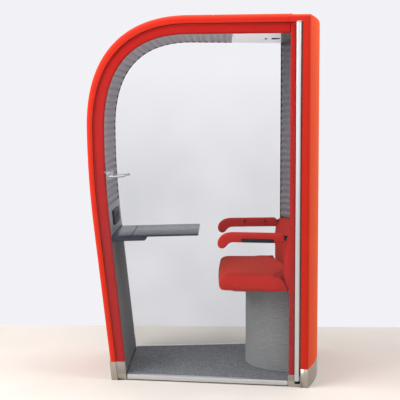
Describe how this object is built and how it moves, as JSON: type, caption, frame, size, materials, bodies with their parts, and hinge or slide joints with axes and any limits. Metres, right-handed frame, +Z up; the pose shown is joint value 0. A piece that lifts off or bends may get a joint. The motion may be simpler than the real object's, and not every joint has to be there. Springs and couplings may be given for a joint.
{
  "type": "acoustic office pod",
  "caption": "One-person acoustic office pod: upholstered arched shell on a steel plinth, glass door and rear pane, folding desk, seat with folding armrests, ribbed lining.",
  "frame": {"origin": "on the ground, in the middle of the overall box", "axes": "+Z up, +X from the desk end to the seat end, -Y towards the door"},
  "size_m": [1.424, 0.9046, 2.2],
  "materials": {
    "red_fabric": "woven wool upholstery over foam",
    "grey_foam": "corrugated acoustic foam",
    "dark_felt": "needle felt wall covering",
    "grey_weave": "fine grey upholstery weave",
    "carpet": "short cut-pile carpet",
    "plywood": "plain birch plywood",
    "pale_laminate": "matt light grey laminate",
    "white_lacquer": "white powder coat",
    "anthracite_laminate": "satin anthracite laminate",
    "black_plastic": "fine-grained black moulding",
    "red_rubber": "matt dark red seal",
    "brush_pile": "dense grey brush pile",
    "frosted_diffuser": "frosted acrylic",
    "aluminium": "satin anodised",
    "stainless_steel": "brushed stainless sheet",
    "satin_steel": "satin stainless steel",
    "clear_glass": "clear laminated glass"
  },
  "bodies": {
    "pod": {"floor_board": "plywood", "floor_carpet": "carpet", "front_threshold": "aluminium", "rear_threshold": "aluminium", "desk_plinth": "stainless_steel", "seat_plinth": "stainless_steel", "foot_1": "black_plastic", "foot_2": "black_plastic", "foot_3": "black_plastic", "foot_4": "black_plastic", "arch_core": "plywood", "arch_cover": "red_fabric", "arch_front_band": "red_fabric", "arch_rear_band": "red_fabric", "arch_lining": "grey_foam", "desk_wall_panel": "dark_felt", "socket_panel": "pale_laminate", "power_module": "black_plastic", "ceiling_panel": "white_lacquer", "ceiling_end_panel": "dark_felt", "led_diffuser": "frosted_diffuser", "presence_sensor": "black_plastic", "fan_housing": "black_plastic", "seat_wall_core": "dark_felt", "seat_wall_cover": "red_fabric", "seat_wall_front_band": "red_fabric", "seat_wall_rear_band": "red_fabric", "seat_wall_lining": "grey_foam", "rear_glass": "clear_glass", "rear_glass_seal": "red_rubber", "door_seal": "red_rubber", "door_top_pivot": "satin_steel", "door_bottom_pivot": "black_plastic", "door_brush": "brush_pile", "strike_plate": "black_plastic", "desk_fixed_top": "anthracite_laminate", "desk_support": "anthracite_laminate", "desk_hinge_fixed": "black_plastic", "seat_pedestal": "grey_weave", "seat_board": "dark_felt", "seat_cushion": "red_fabric", "backrest": "red_fabric", "front_armrest_bracket": "black_plastic", "rear_armrest_bracket": "black_plastic"},
    "door": {"door_glass": "clear_glass", "door_hinge_profile": "aluminium", "outer_rose": "satin_steel", "inner_rose": "satin_steel", "latch_case": "satin_steel"},
    "lever": {"outer_lever": "satin_steel", "inner_lever": "satin_steel", "lever_spindle": "satin_steel"},
    "latch_bolt": {"latch_bolt": "satin_steel"},
    "desk_leaf": {"desk_leaf": "anthracite_laminate", "desk_hinge_moving": "black_plastic"},
    "front_armrest": {"front_armrest": "red_fabric", "front_armrest_trim": "black_plastic"},
    "rear_armrest": {"rear_armrest": "red_fabric", "rear_armrest_trim": "black_plastic"},
    "fan_rotor": {"fan_rotor": "black_plastic"}
  },
  "joints": [
    {"name": "door_swing", "type": "hinge", "parent": "pod", "child": "door", "pos_m": [0.554, -0.43378, 1.1], "axis": [0, 0, 1], "range_deg": [0, 95]},
    {"name": "lever_turn", "type": "hinge", "parent": "door", "child": "lever", "pos_m": [-0.5651, -0.32374, 1.243], "axis": [0.1076, 0.9942, 0], "range_deg": [0, 44], "stiffness_Nm_per_rad": 0.8},
    {"name": "bolt_slide", "type": "slide", "parent": "door", "child": "latch_bolt", "axis": [0.9942, -0.1076, 0], "range_m": [0, 0.009]},
    {"name": "leaf_fold", "type": "hinge", "parent": "pod", "child": "desk_leaf", "pos_m": [-0.448, 0, 0.8685], "axis": [0, -1, 0], "range_deg": [0, 85]},
    {"name": "front_armrest_fold", "type": "hinge", "parent": "pod", "child": "front_armrest", "pos_m": [0.44701, -0.36989, 0.879], "axis": [0.1076, 0.9942, 0], "range_deg": [0, 85]},
    {"name": "rear_armrest_fold", "type": "hinge", "parent": "pod", "child": "rear_armrest", "pos_m": [0.44701, 0.36989, 0.879], "axis": [-0.1076, 0.9942, 0], "range_deg": [0, 85]},
    {"name": "fan_spin", "type": "hinge", "parent": "pod", "child": "fan_rotor", "pos_m": [0.459, 0, 2.117], "axis": [0, 0, 1], "continuous": true}
  ],
  "couplings": [
    {"joint": "bolt_slide", "follows": "lever_turn", "m_per_rad": 0.0115}
  ]
}
